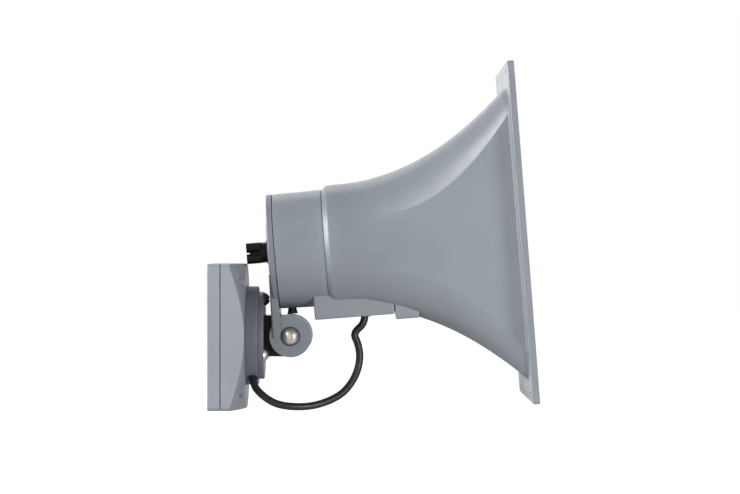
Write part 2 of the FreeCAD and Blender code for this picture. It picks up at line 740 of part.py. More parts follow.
# ---- Lead cover under the neck, in the horn's frame ----
def lead_cover():
    outer = block(COVER_START, COVER_END, -COVER_HALF, COVER_HALF, -COVER_DEPTH, -38)
    outer = rounded(outer, 2.0, lambda e: abs(e.CenterOfMass.z + COVER_DEPTH) < 1e-4 and e.Length > 65)
    inner = block(COVER_START + COVER_WALL, COVER_END - COVER_WALL, COVER_WALL - COVER_HALF,
                  COVER_HALF - COVER_WALL, COVER_WALL - COVER_DEPTH, -30)
    cover = outer.cut(inner)
    cover = cover.cut(turned([(HOUSING_REAR, 0), (HOUSING_REAR, HOUSING_REAR_R + 0.1),
                              (HOUSING_FRONT, HOUSING_FRONT_R + 0.1), (BELL_REAR, HOUSING_FRONT_R + 0.1),
                              (BELL_REAR, 0)]))
    cover = cover.cut(neck_solid(0.1)).cut(flare_solid(0.1))
    for u, tip in COVER_SCREWS:
        cover = cover.cut(rod_down(1.6, tip, -COVER_DEPTH - 1, u))
        cover = cover.cut(rod_down(3.0, 1.6 - COVER_DEPTH, -COVER_DEPTH - 1, u))
    return on_horn(cover.cut(rod_down(GROMMET_R, -50, -COVER_DEPTH - 1, LEAD_HOLE_U)))


def lead_cover_screws():
    """Each passes through the cover into a blind hole in the bell's neck."""
    bottom = -COVER_DEPTH
    screws = []
    for u, tip in COVER_SCREWS:
        screw = joined([rod_down(2.8, bottom + 1.6, bottom + 0.2, 0), rod_down(1.5, tip, bottom + 1, 0)])
        screws.append(moved(screw.cut(block(-2.2, 2.2, -0.4, 0.4, bottom - 1, bottom + 0.9)), x=u))
    return group(on_horn(screw) for screw in screws)


def lead_grommet_upper():
    """Its collar is outside, below the cover."""
    shape = grommet(COVER_DEPTH, 4.0)
    shape.rotate(V(0, 0, 0), X_AXIS, 180)
    return on_horn(moved(shape, x=LEAD_HOLE_U))


def lead_upper():
    return tube_along(LEAD_UPPER_ROUTE, LEAD_R, "lead_upper")


# ---- Driver, in the horn's frame ----
YOKE_REAR = 5.0
YOKE_FRONT = 10.0
MAGNET_R = 28.0
MAGNET_FRONT = 19.5
POLE_R = 12.0
TOP_FRONT = 24.0
TOP_R = 37.0
GAP_R = 13.8
RING_THICK = 1.5
SURROUND_THICK = 0.4
DOME_HEIGHT = 4.5
COIL_R = 13.1
DRIVER_SCREW_R = 32.0


def driver_screw_places():
    angles = [math.radians(a) for a in (0, 90, 180, 270)]
    return [(DRIVER_SCREW_R * math.cos(a), DRIVER_SCREW_R * math.sin(a)) for a in angles]


def pole_yoke():
    return on_horn(joined([rod(MAGNET_R, YOKE_REAR, YOKE_FRONT), rod(POLE_R, YOKE_REAR, TOP_FRONT - 0.5)]))


def magnet():
    return on_horn(pipe(MAGNET_R, 19.0, YOKE_FRONT, MAGNET_FRONT))


def with_driver_holes(shape):
    for y, z in driver_screw_places():
        shape = shape.cut(rod(1.6, 0, BELL_REAR, y, z))
    return shape


def top_plate():
    return on_horn(with_driver_holes(pipe(TOP_R, GAP_R, MAGNET_FRONT, TOP_FRONT)))


SEAT = TOP_FRONT + RING_THICK


def diaphragm_clamp_ring():
    return on_horn(with_driver_holes(pipe(TOP_R, 20.0, TOP_FRONT, SEAT)))


def cap(radius, height, x):
    """A solid spherical cap on the plane at x."""
    return domed_head(radius, height, x)


def phase_plug():
    plug = rod(TOP_R, SEAT + SURROUND_THICK, BELL_REAR)
    plug = plug.cut(rod(20.0, SEAT, SEAT + 1.4))
    plug = plug.cut(moved(cap(15.0, DOME_HEIGHT + 0.9, SEAT + 1.3)))
    return on_horn(with_driver_holes(plug.cut(rod(THROAT_R, SEAT, BELL_REAR))))


def diaphragm_surround():
    return on_horn(with_driver_holes(pipe(TOP_R, COIL_R + 0.9, SEAT, SEAT + SURROUND_THICK)))


def diaphragm_dome():
    thick = 0.5
    shell = cap(COIL_R, DOME_HEIGHT, SEAT).cut(cap(COIL_R - thick, DOME_HEIGHT - thick, SEAT))
    return on_horn(joined([shell, pipe(COIL_R + 0.9, COIL_R - 0.6, SEAT, SEAT + SURROUND_THICK)]))


def voice_coil():
    return on_horn(pipe(COIL_R, COIL_R - 0.6, MAGNET_FRONT - 1.0, SEAT))


def driver_screws():
    screw = joined([rod(2.8, MAGNET_FRONT - 2.5, MAGNET_FRONT), rod(1.5, MAGNET_FRONT - 1, BELL_REAR + 2.5)])
    return group(on_horn(moved(screw, y=y, z=z)) for y, z in driver_screw_places())


TERMINAL_HALF = 7.0


def driver_terminals():
    shape = block(20.0, 23.0, -TERMINAL_HALF, TERMINAL_HALF, -42.0, -34.0)
    return on_horn(shape.cut(rod(TOP_R, 0, BELL_REAR)))


def driver_leads():
    wires = []
    for side in (-1, 1):
        route = [V(21.5, side * 4.0, -42.0), V(21.5, side * 4.0, -44.5), V(28.6, side * 2.0, -48.0),
                 V(30.5, side * 2.0, -56.5), V(46.0, side * 6.5, -57.5), V(60.0, side * 3.5, -56.8)]
        wires.append(tube_along([from_horn_frame(p) for p in route], 0.8))
    return group(wires)


NODES = [
    base_plate, base_gasket, base_cover, cover_screws, cable_inlet_grommet, transformer_core,
    transformer_winding, circuit_board, board_standoffs, terminal_block, terminal_screws,
    turntable_ring, turntable_plate, turntable_screws, turntable_retainer, swivel_o_ring, pivot_lug,
    lug_screws, pivot_bush, lead_grommet_lower, lead_lower,
    tilt_arm, pivot_bolt, pivot_washers, friction_washers, pivot_nut, clamp_washer,
    clamp_knob, clamp_stud,
    driver_housing, housing_screws, housing_insert, housing_gasket, tap_plug, bell, throat_tube,
    reflector, lead_cover, lead_cover_screws, lead_grommet_upper, lead_upper, pole_yoke, magnet,
    top_plate, diaphragm_clamp_ring, phase_plug, diaphragm_surround, driver_screws,
    driver_terminals, driver_leads, diaphragm_dome, voice_coil,
]

os.makedirs("parts", exist_ok=True)
for make in NODES:
    shape = make()
    if not shape.isValid() or not shape.Solids:
        print("NOT VALID", make.__name__)
    shape.exportStep("parts/%s.step" % make.__name__)
print(len(NODES), "nodes")
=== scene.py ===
"""The looks of the horn loudspeaker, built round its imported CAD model. Metres, in the row frame."""
import json
import math

import bmesh
import bpy
from mathutils import Matrix, Vector

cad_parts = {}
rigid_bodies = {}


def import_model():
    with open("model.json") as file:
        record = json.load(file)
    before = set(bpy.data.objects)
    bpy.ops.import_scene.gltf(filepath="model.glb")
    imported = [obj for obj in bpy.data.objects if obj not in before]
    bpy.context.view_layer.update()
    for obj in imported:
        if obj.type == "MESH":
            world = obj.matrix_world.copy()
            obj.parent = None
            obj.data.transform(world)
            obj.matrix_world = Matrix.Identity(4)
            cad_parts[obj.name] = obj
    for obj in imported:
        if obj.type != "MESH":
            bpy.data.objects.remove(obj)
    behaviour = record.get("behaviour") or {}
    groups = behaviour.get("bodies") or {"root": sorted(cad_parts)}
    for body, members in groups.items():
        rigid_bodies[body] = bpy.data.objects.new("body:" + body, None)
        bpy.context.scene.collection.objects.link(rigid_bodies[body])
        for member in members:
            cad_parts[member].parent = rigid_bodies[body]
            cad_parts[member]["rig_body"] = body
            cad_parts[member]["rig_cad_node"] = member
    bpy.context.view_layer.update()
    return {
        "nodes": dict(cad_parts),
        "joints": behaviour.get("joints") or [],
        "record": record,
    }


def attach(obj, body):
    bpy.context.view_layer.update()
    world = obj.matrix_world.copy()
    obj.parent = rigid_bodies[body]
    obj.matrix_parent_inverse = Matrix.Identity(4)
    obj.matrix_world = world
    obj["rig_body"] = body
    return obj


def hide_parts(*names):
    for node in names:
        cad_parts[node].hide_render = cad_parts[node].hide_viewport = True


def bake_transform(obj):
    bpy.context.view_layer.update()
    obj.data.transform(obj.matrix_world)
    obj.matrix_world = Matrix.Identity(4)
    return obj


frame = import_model()
NODES = frame["nodes"]
MM = 0.001

# ---- The tilted frame of the horn: u along its axis, h up from it ----
joints = {j["name"]: j for j in frame["joints"]}
PIVOT = Vector(joints["tilt"]["pos_m"])
HORN_X = Vector(joints["roll"]["axis"]).normalized()
HORN_Z = HORN_X.cross(Vector((0, 1, 0))).normalized()
HORN_RISE = (Vector(joints["roll"]["pos_m"]) - PIVOT).dot(HORN_Z)
HORN_MATRIX = Matrix((
    (HORN_X.x, 0, HORN_Z.x, PIVOT.x + HORN_RISE * HORN_Z.x),
    (0, 1, 0, 0),
    (HORN_X.z, 0, HORN_Z.z, PIVOT.z + HORN_RISE * HORN_Z.z),
    (0, 0, 0, 1)))


# ---- Camera ----
CAMERA_PLACE = Vector((0.1406, -2.39, 0.0782))
CAMERA_LENS, CAMERA_SENSOR = 131.35, 36.0        # mm
CAMERA_REACH = 50.0


def make_camera():
    data = bpy.data.cameras.new("camera")
    data.lens = CAMERA_LENS
    data.sensor_width = CAMERA_SENSOR
    data.clip_end = CAMERA_REACH
    camera = bpy.data.objects.new("camera", data)
    camera.location = CAMERA_PLACE
    camera.rotation_euler = (math.radians(90), 0, 0)
    bpy.context.scene.collection.objects.link(camera)
    bpy.context.scene.camera = camera


make_camera()


# ---- Meshes ----
def add_object(name, mesh):
    obj = bpy.data.objects.new(name, mesh)
    bpy.context.scene.collection.objects.link(obj)
    return obj


def mesh_from(name, points, faces):
    mesh = bpy.data.meshes.new(name)
    mesh.from_pydata([tuple(p) for p in points], [], faces)
    mesh.validate()
    return mesh


def shade_by_angle(obj, degrees=35):
    """Smooth faces, with edges over that angle kept sharp."""
    mesh = obj.data
    mesh.polygons.foreach_set("use_smooth", [True] * len(mesh.polygons))
    mesh.set_sharp_from_angle(angle=math.radians(degrees))
    mesh.update()


def even_shading(obj, degrees=35):
    """As shade_by_angle, with large flat faces kept flat up to the rounding beside them."""
    shade_by_angle(obj, degrees)
    weighted = obj.modifiers.new("weighted", "WEIGHTED_NORMAL")
    weighted.mode = "FACE_AREA"
    weighted.weight = 80
    weighted.keep_sharp = True
    apply_modifiers(obj)


def face_outwards(mesh, merge=None):
    """Turns every face outwards, after joining points closer than merge."""
    bm = bmesh.new()
    bm.from_mesh(mesh)
    if merge is not None:
        bmesh.ops.remove_doubles(bm, verts=bm.verts, dist=merge)
    bmesh.ops.recalc_face_normals(bm, faces=bm.faces)
    bm.to_mesh(mesh)
    bm.free()


def apply_modifiers(obj):
    graph = bpy.context.evaluated_depsgraph_get()
    graph.update()
    mesh = bpy.data.meshes.new_from_object(obj.evaluated_get(graph))
    old = obj.data
    obj.modifiers.clear()
    obj.data = mesh
    bpy.data.meshes.remove(old)


ROUNDING_SEGMENTS = 3
ROUNDING_ANGLE = 32.0         # degrees between faces from which an edge is rounded
SAME_POINT = 2e-6             # metres between points that are one point
SAME_PLANE = 0.6              # degrees between faces that are one face


def softened(node, width):
    """A copy of a CAD node with its hard edges rounded by width, which takes the node's place."""
    source = NODES[node]
    name = node + "_shell"
    bm = bmesh.new()
    bm.from_mesh(source.data)
    bmesh.ops.remove_doubles(bm, verts=bm.verts, dist=SAME_POINT)
    bmesh.ops.dissolve_limit(bm, angle_limit=math.radians(SAME_PLANE),
                             verts=bm.verts, edges=bm.edges)
    mesh = bpy.data.meshes.new(name)
    bm.to_mesh(mesh)
    bm.free()
    obj = add_object(name, mesh)
    bevel = obj.modifiers.new("bevel", "BEVEL")
    bevel.width = width
    bevel.segments = ROUNDING_SEGMENTS
    bevel.limit_method = "ANGLE"
    bevel.angle_limit = math.radians(ROUNDING_ANGLE)
    bevel.use_clamp_overlap = True
    bevel.harden_normals = False
    apply_modifiers(obj)
    even_shading(obj, ROUNDING_ANGLE)
    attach(obj, source["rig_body"])
    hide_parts(node)
    return obj


# ---- Materials ----
def srgb(*values):
    """8-bit sRGB to a linear colour."""
    linear = [((v / 255 + 0.055) / 1.055) ** 2.4 if v > 10 else v / 255 / 12.92 for v in values]
    return (*linear, 1.0)


def scaled(colour, factor, lift=0.0):
    """A colour made lighter or darker, never past white."""
    return tuple(min(1.0, c * factor + lift) for c in colour[:3]) + (1.0,)


class Paint:
    """Wires the nodes of one material."""

    def __init__(self, name):
        self.material = bpy.data.materials.new(name)
        self.material.use_nodes = True
        self.tree = self.material.node_tree
        self.shader = self.tree.nodes["Principled BSDF"]
        self.place = self.node("ShaderNodeTexCoord").outputs["Object"]

    def node(self, kind, **values):
        made = self.tree.nodes.new(kind)
        for key, value in values.items():
            setattr(made, key, value)
        return made

    def link(self, a, b):
        self.tree.links.new(a, b)

    def noise(self, scale, detail=4.0, rough=0.55):
        texture = self.node("ShaderNodeTexNoise")
        texture.inputs["Scale"].default_value = scale
        texture.inputs["Detail"].default_value = detail
        texture.inputs["Roughness"].default_value = rough
        self.link(self.place, texture.inputs["Vector"])
        return texture.outputs["Fac"]

    def ranged(self, value, low, high, from_low=0.3, from_high=0.7):
        mapped = self.node("ShaderNodeMapRange")
        mapped.inputs["From Min"].default_value = from_low
        mapped.inputs["From Max"].default_value = from_high
        mapped.inputs["To Min"].default_value = low
        mapped.inputs["To Max"].default_value = high
        self.link(value, mapped.inputs["Value"])
        return mapped.outputs["Result"]

    def mix(self, amount, first, second):
        mixed = self.node("ShaderNodeMix", data_type="RGBA")
        self.link(amount, mixed.inputs["Factor"])
        for socket, value in ((6, first), (7, second)):
            if isinstance(value, tuple):
                mixed.inputs[socket].default_value = value
            else:
                self.link(value, mixed.inputs[socket])
        return mixed.outputs[2]

    def bump(self, height, strength, distance, normal=None):
        bumped = self.node("ShaderNodeBump")
        bumped.inputs["Strength"].default_value = strength
        bumped.inputs["Distance"].default_value = distance
        self.link(height, bumped.inputs["Height"])
        if normal is not None:
            self.link(normal, bumped.inputs["Normal"])
        return bumped.outputs["Normal"]

    def set(self, **values):
        for key, value in values.items():
            self.shader.inputs[key.replace("_", " ")].default_value = value

    def wire(self, **sockets):
        for key, value in sockets.items():
            self.link(value, self.shader.inputs[key.replace("_", " ")])


def edge_wear_and_highlight(paint, amount):
    """From 0 to 1 along convex edges, broken up by noise: part edge wear, part painted highlight
    along the edges.
    """
    geometry = paint.node("ShaderNodeNewGeometry")
    edge = paint.ranged(geometry.outputs["Pointiness"], 0.0, amount, 0.53, 0.62)
    broken = paint.ranged(paint.noise(900.0), 0.2, 1.0, 0.4, 0.6)
    product = paint.node("ShaderNodeMath", operation="MULTIPLY")
    paint.link(edge, product.inputs[0])
    paint.link(broken, product.inputs[1])
    return product.outputs[0]


MOTTLING = 0.05               # how far a moulded or painted surface strays from its colour


def coated(name, base, grain=0.00006, rough=(0.33, 0.43), edge=0.35):
    """Moulded or painted light surface: mottling, fine orange-peel grain, lighter convex edges that
    are part wear and part painted highlight.
    """
    paint = Paint(name)
    mottled = paint.mix(paint.ranged(paint.noise(18.0, 6.0), 0.0, 1.0),
                        scaled(base, 1 - MOTTLING), scaled(base, 1 + MOTTLING))
    # convex edges lightened: part wear, part painted highlight
    colour = paint.mix(edge_wear_and_highlight(paint, edge), mottled, scaled(base, 1.35, 0.03))
    fine = paint.bump(paint.noise(1900.0, 3.0), 0.35, grain)
    broad = paint.bump(paint.noise(60.0, 3.0), 0.12, 0.0004, fine)
    roughness = paint.ranged(paint.noise(130.0, 5.0), *rough)
    paint.wire(Base_Color=colour, Roughness=roughness, Normal=broad)
    paint.set(IOR=1.46)
    return paint.material


def dark_moulded(name, base, rough, grain_scale=1500.0, shine=0.5):
    """Black rubber or plastic: matte, with fine dust and a slight grain."""
    paint = Paint(name)
    dusty = scaled(base, 1.5, 0.003)
    colour = paint.mix(paint.ranged(paint.noise(160.0, 6.0), 0.0, 0.5), base, dusty)
    fine = paint.bump(paint.noise(grain_scale, 4.0), 0.4, 0.00006)
    paint.wire(Base_Color=colour, Roughness=paint.ranged(paint.noise(90.0), *rough), Normal=fine)
    paint.set(Specular_IOR_Level=shine)
    return paint.material


def metal(name, base, rough):
    """Turned or plated metal: uneven polish, fine scratches and slightly dull patches."""
    paint = Paint(name)
    colour = paint.mix(paint.ranged(paint.noise(220.0, 6.0), 0.0, 0.5), base, scaled(base, 0.72))
    scratches = paint.bump(paint.noise(1400.0, 6.0, 0.7), 0.3, 0.00002)
    paint.wire(Base_Color=colour, Roughness=paint.ranged(paint.noise(300.0, 6.0), *rough),
               Normal=scratches)
    paint.set(Metallic=1.0)
    return paint.material


def copper_winding(name):
    """Enamelled wire in close turns."""
    paint = Paint(name)
    wave = paint.node("ShaderNodeTexWave", wave_type="BANDS", bands_direction="Z")
    wave.inputs["Scale"].default_value = 420.0
    wave.inputs["Distortion"].default_value = 0.3
    paint.link(paint.place, wave.inputs["Vector"])
    colour = paint.mix(wave.outputs["Fac"], srgb(92, 44, 20), srgb(196, 112, 62))
    paint.wire(Base_Color=colour, Normal=paint.bump(wave.outputs["Fac"], 0.6, 0.0002),
               Roughness=paint.ranged(paint.noise(200.0), 0.25, 0.4))
    paint.set(Metallic=0.85)
    return paint.material


def solder_mask(name):
    """Green board with lighter copper tracks under the mask."""
    paint = Paint(name)
    cells = paint.node("ShaderNodeTexVoronoi", feature="DISTANCE_TO_EDGE")
    cells.inputs["Scale"].default_value = 180.0
    paint.link(paint.place, cells.inputs["Vector"])
    tracks = paint.ranged(cells.outputs["Distance"], 1.0, 0.0, 0.03, 0.06)
    colour = paint.mix(tracks, srgb(18, 70, 38), srgb(40, 108, 58))
    paint.wire(Base_Color=colour, Normal=paint.bump(tracks, 0.5, 0.00005),
               Roughness=paint.ranged(paint.noise(240.0), 0.25, 0.4))
    return paint.material


GREY_BELL = srgb(107.5, 113, 118.5)
GREY_BASE = srgb(119, 123.5, 131)
GREY_RING = srgb(84, 88, 95)
GREY_ARM = srgb(97, 102, 109)

MATERIALS = {
    "bell_grey": coated("bell_grey", GREY_BELL),
    "light_grey_plastic": coated("light_grey_plastic", GREY_BASE, rough=(0.45, 0.58)),
    # the ring's strong edge lightening paints highlights along its edges, on top of wear
    "dark_grey_cast": coated("dark_grey_cast", GREY_RING, 0.0001, (0.42, 0.55), edge=0.8),
    "arm_grey": coated("arm_grey", GREY_ARM, 0.0001, (0.42, 0.55), edge=0.25),
    "black_rubber": dark_moulded("black_rubber", srgb(18, 22, 28), (0.34, 0.48), shine=0.35),
    "black_plastic": dark_moulded("black_plastic", srgb(10, 10, 11), (0.34, 0.5), shine=0.22),
    "gasket_grey": dark_moulded("gasket_grey", srgb(88, 92, 97), (0.5, 0.65)),
    "stainless": metal("stainless", srgb(206, 199, 190), (0.3, 0.42)),
    "zinc_steel": metal("zinc_steel", srgb(184, 187, 190), (0.3, 0.48)),
    "brass": metal("brass", srgb(198, 160, 88), (0.25, 0.4)),
    "titanium": metal("titanium", srgb(150, 148, 146), (0.35, 0.5)),
    "ferrite": dark_moulded("ferrite", srgb(58, 58, 61), (0.6, 0.8), 700.0),
    "copper": copper_winding("copper"),
    "board_green": solder_mask("board_green"),
    "white_nylon": coated("white_nylon", srgb(222, 221, 214), rough=(0.4, 0.5), edge=0.1),
    "film": coated("film", srgb(188, 140, 72), rough=(0.2, 0.32), edge=0.1),
}


def paint_piece(obj, slot):
    obj.data.materials.clear()
    obj.data.materials.append(MATERIALS[slot])
    return obj


SLOT_OF = {s["node"]: s["material_slot"] for s in frame["record"]["subparts"]}
LOOK_OF = {"housing_gasket": "gasket_grey"}      # a grey rubber, not the black one of its slot

for cad_node, cad_object in NODES.items():
    paint_piece(cad_object, LOOK_OF.get(cad_node, SLOT_OF[cad_node]))

# ---- Lead ----
LEAD_DIAMETER = 0.0066
# routes in mm in the row frame: from the turntable's rim, round under the pivot, up into the cover
LEAD_JOIN = (104.0, -18.25, -56.95)
LEAD_LOWER = [(38.0, -21.24, -32.71), (38.0, -27.23, -41.93), (45.8, -30.5, -51.2),
              (58.5, -31.5, -59.4), (76.5, -29.5, -61.9), (94.5, -23.0, -60.6), LEAD_JOIN]
LEAD_UPPER = [LEAD_JOIN, (113.5, -13.5, -53.3), (123.9, -7.5, -42.8), (129.9, -3.2, -30.6),
              (132.0, -1.0, -18.3), (129.9, 0.0, -6.6), (125.5, 0.0, 2.0), (136.9, 0.0, 11.5),
              (136.2, 0.0, 23.0)]


def route_points(name, route):
    """Points down the route's smooth line."""
    data = bpy.data.curves.new(name + "_route", "CURVE")
    data.dimensions = "3D"
    data.resolution_u = 16
    spline = data.splines.new("NURBS")
    spline.points.add(len(route) - 1)
    for point, place in zip(spline.points, route):
        point.co = (*(c * MM for c in place), 1.0)
    spline.order_u = 3
    spline.use_endpoint_u = True
    holder = bpy.data.objects.new(name + "_route", data)
    line = bpy.data.meshes.new_from_object(holder)
    points = [v.co.copy() for v in line.vertices]
    bpy.data.objects.remove(holder)
    bpy.data.curves.remove(data)
    bpy.data.meshes.remove(line)
    return points


def tube_mesh(name, points, radius, around=20):
    """A tube that follows the points, closed at both ends, with no twist."""
    tangents = [(b - a).normalized() for a, b in zip(points, points[1:])]
    between = [(a + b).normalized() for a, b in zip(tangents, tangents[1:])]
    tangents = [tangents[0]] + between + [tangents[-1]]
    side = tangents[0].orthogonal().normalized()
    verts, faces = [], []
    for point, tangent in zip(points, tangents):
        side = (side - tangent * side.dot(tangent)).normalized()
        other = tangent.cross(side)
        for i in range(around):
            angle = 2 * math.pi * i / around
            verts.append(point + radius * (side * math.cos(angle) + other * math.sin(angle)))
    for ring in range(len(points) - 1):
        for i in range(around):
            j = (i + 1) % around
            a, b = ring * around, (ring + 1) * around
            faces.append((a + i, a + j, b + j, b + i))
    last = (len(points) - 1) * around
    faces.append(tuple(range(around))[::-1])
    faces.append(tuple(last + i for i in range(around)))
    return mesh_from(name, verts, faces)


def make_lead(name, route, node):
    """The tube of one lead along its route, in the place of its CAD node."""
    points = route_points(name, route)
    obj = add_object(name, tube_mesh(name, points, LEAD_DIAMETER / 2))
    shade_by_angle(obj, 50)
    paint_piece(obj, "black_rubber")
    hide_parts(node)
    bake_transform(obj)


make_lead("lead_lower_tube", LEAD_LOWER, "lead_lower")
make_lead("lead_upper_tube", LEAD_UPPER, "lead_upper")

# ---- Bell: sizes in mm in the horn's frame, with u along its axis and y and h across it ----
FLARE_START, MOUTH, FLANGE_THICK = 50.0, 203.0, 6.0
BELL_REAR, NECK_START = 36.2, 40.3
REAR_R, NECK_R = 51.5, 55.2
MOUTH_HALF_HEIGHT, MOUTH_HALF_WIDTH = 127.0, 88.0
FLANGE_HALF_HEIGHT, FLANGE_HALF_WIDTH = 146.0, 105.0
WALL = 3.0
FLARE_POWER = 2.05           # how late the bell widens
CREASE = 1.32                # how much wider than high the rounding above the side panel is
PANEL_HALF, PANEL_GROWTH = 26.0, 74.0            # the side panel at the neck, and what it gains
PANEL_START, PANEL_LENGTH, PANEL_POWER = 95.0, 105.0, 1.9
ROUND_UNTIL, SQUARING_LENGTH = 58.0, 74.0        # where the neck stops being round, and how slowly


def flare(u):
    """How far the bell has opened at u, from 0 at the neck to 1 at the mouth."""
    return (max(u - FLARE_START, 0.0) / (MOUTH - FLARE_START)) ** FLARE_POWER


def smooth(t):
    t = min(max(t, 0.0), 1.0)
    return t * t * (3 - 2 * t)


def panel_half(u):
    """Half the height of the side panel at u, between the creases above and below it."""
    return PANEL_HALF + PANEL_GROWTH * max(0.0, (u - PANEL_START) / PANEL_LENGTH) ** PANEL_POWER


# where the section's points lie along its side panel, its rounding and its top
FLAT_STEPS = [0.0, 0.25, 0.5, 0.75, 0.93, 0.985, 1.0]
ARC_STEPS = [0.0, 0.012, 0.04, 0.1, 0.18, 0.27, 0.36, 0.46, 0.56, 0.66, 0.77, 0.88, 1.0]
TOP_STEPS = [0.75, 0.5, 0.25, 0.0]


def quarter_outline(u, outset):
    """(y, h) points of a quarter of the bell's section, from its side to its top."""
    spread = flare(u)
    height = NECK_R + (MOUTH_HALF_HEIGHT - NECK_R) * spread
    width = NECK_R + (MOUTH_HALF_WIDTH - NECK_R) * spread
    half = panel_half(u)
    share = smooth((u - ROUND_UNTIL) / SQUARING_LENGTH)
    height, width = height + outset, width + outset
    reach = CREASE * (height - half)
    arc_r = (reach ** 2 + (height - half) ** 2) / (2 * (height - half))
    centre_y = width - reach
    first = math.asin(min(1.0, (half - height + arc_r) / arc_r))
    round_first = math.asin(min(1.0, half / height))
    points = []
    for s in FLAT_STEPS:
        z = s * half
        round_y = width * math.sqrt(max(0.0, 1 - (z / height) ** 2))
        points.append((round_y + (width - round_y) * share, z))
    for s in ARC_STEPS[1:]:
        a = first + (math.pi / 2 - first) * s
        b = round_first + (math.pi / 2 - round_first) * s
        panel = (centre_y + arc_r * math.cos(a), height - arc_r + arc_r * math.sin(a))
        ring = (width * math.cos(b), height * math.sin(b))
        points.append(tuple(r + (p - r) * share for r, p in zip(ring, panel)))
    top_y = points[-1][0]
    points += [(top_y * s, height) for s in TOP_STEPS]
    return points


def full_outline(quarter):
    """The whole closed outline, from one quarter's (y, h) points."""
    upper = quarter + [(-y, z) for y, z in quarter[-2::-1]]
    return upper + [(y, -z) for y, z in upper[-2:0:-1]]


def round_outline(radius):
    """A circle with the bell section's number of points, in the directions they have at its start."""
    start = full_outline(quarter_outline(FLARE_START, 0.0))
    return [(radius * y / math.hypot(y, z), radius * z / math.hypot(y, z)) for y, z in start]


def rectangle_outline(like, half_width, half_height, corner):
    """The flange's outline: like's points pushed straight out to a rounded rectangle."""
    out = []
    for y, z in like:
        scale = min(half_width / max(abs(y), 1e-9), half_height / max(abs(z), 1e-9))
        out.append((y * scale, z * scale))
    # the points nearest the corners go to the corners themselves
    for sy in (-1, 1):
        for sz in (-1, 1):
            tip = (sy * half_width, sz * half_height)
            k = min(range(len(out)), key=lambda i: math.dist(out[i], tip))
            out[k] = (sy * (half_width - corner), sz * half_height)
            nearby = [(k - 1) % len(out), (k + 1) % len(out)]
            side = min(nearby,
                       key=lambda i: abs(abs(out[i][0]) - half_width) + 1e-3 * abs(out[i][1]))
            out[side] = (sy * half_width, sz * (half_height - corner))
    return out


BELL_STEPS = 58


def bell_stations():
    """Places along the flare where its section is made."""
    return [FLARE_START + (MOUTH - FLARE_START) * i / BELL_STEPS for i in range(BELL_STEPS + 1)]


def bridged(rings):
    """Quads between rings of points, each with the same number of points."""
    count = len(rings[0])
    verts = [p for ring in rings for p in ring]
    faces = []
    for r in range(len(rings) - 1):
        for i in range(count):
            j = (i + 1) % count
            a, b = r * count, (r + 1) * count
            faces.append((a + i, a + j, b + j, b + i))
    return verts, faces


def at(u, outline):
    return [Vector((u * MM, y * MM, z * MM)) for y, z in outline]


FILLET_R = 3.2
FILLET_START = MOUTH - 2.7
BOWL = 40.2                  # the floor of the bowl inside the neck


def fillet_ring(degrees):
    """A place and outline on the curve from the bell's outside into the flange's rear face."""
    slope = math.atan2(MOUTH_HALF_WIDTH - NECK_R, MOUTH - FLARE_START) * 1.5
    turn = slope + (math.pi / 2 - slope) * degrees / 90
    u = MOUTH - FILLET_R * (1 - math.sin(turn))
    out = FILLET_R * (math.cos(slope) - math.cos(turn))
    start_u = MOUTH - FILLET_R * (1 - math.sin(slope))
    return u, full_outline(quarter_outline(start_u, out))


def make_bell():
    back, front = MOUTH, MOUTH + FLANGE_THICK
    # the rear face and the seam's small step up to the neck
    rings = [at(BELL_REAR, round_outline(REAR_R - 8)), at(BELL_REAR, round_outline(REAR_R - 0.2)),
             at(BELL_REAR + 0.2, round_outline(REAR_R)),
             at(NECK_START - 0.4, round_outline(NECK_R - 0.7)),
             at(NECK_START + 0.1, round_outline(NECK_R - 0.35)),
             at(NECK_START + 0.7, round_outline(NECK_R - 0.28))]
    # the flare's outside and its fillet into the flange
    rings += [at(u, full_outline(quarter_outline(u, 0.0)))
              for u in bell_stations() if u < FILLET_START]
    for degrees in (0, 12, 24, 36, 48, 60, 75, 90):
        rings.append(at(*fillet_ring(degrees)))
    # the flange, with its edges rounded off
    grown = fillet_ring(90)[1]
    plate = rectangle_outline(grown, FLANGE_HALF_WIDTH - 0.7, FLANGE_HALF_HEIGHT - 0.7, 0.8)
    for grow in (0.35, 0.8):
        rings.append(at(back, [(y0 + (y1 - y0) * grow, z0 + (z1 - z0) * grow)
                               for (y0, z0), (y1, z1) in zip(grown, plate)]))
    plate = rectangle_outline(grown, FLANGE_HALF_WIDTH - 0.6, FLANGE_HALF_HEIGHT - 0.6, 0.8)
    edge = rectangle_outline(grown, FLANGE_HALF_WIDTH, FLANGE_HALF_HEIGHT, 1.2)
    rings += [at(back, plate), at(back + 0.6, edge), at(front - 0.6, edge), at(front, plate)]
    # the mouth's rim, the flare's inside, and the bowl with the hole through its floor
    rings += [at(front, full_outline(quarter_outline(front, 0.6 - WALL))),
              at(front - 0.6, full_outline(quarter_outline(front, -WALL)))]
    rings += [at(u, full_outline(quarter_outline(u, -WALL))) for u in reversed(bell_stations())]
    rings += [at(BOWL + 3.0, round_outline(NECK_R - WALL)),
              at(BOWL + 0.9, round_outline(NECK_R - WALL - 0.9)),
              at(BOWL, round_outline(NECK_R - WALL - 3.0)), at(BOWL, round_outline(24.0)),
              at(BOWL, round_outline(11.0)), at(BELL_REAR, round_outline(10.2))]
    verts, faces = bridged(rings)
    count = len(rings[0])
    last = (len(rings) - 1) * count
    faces += [(last + i, last + (i + 1) % count, (i + 1) % count, i) for i in range(count)]
    mesh = mesh_from("bell_shell", verts, faces)
    mesh.transform(HORN_MATRIX)
    face_outwards(mesh, merge=1e-6)
    return add_object("bell_shell", mesh)


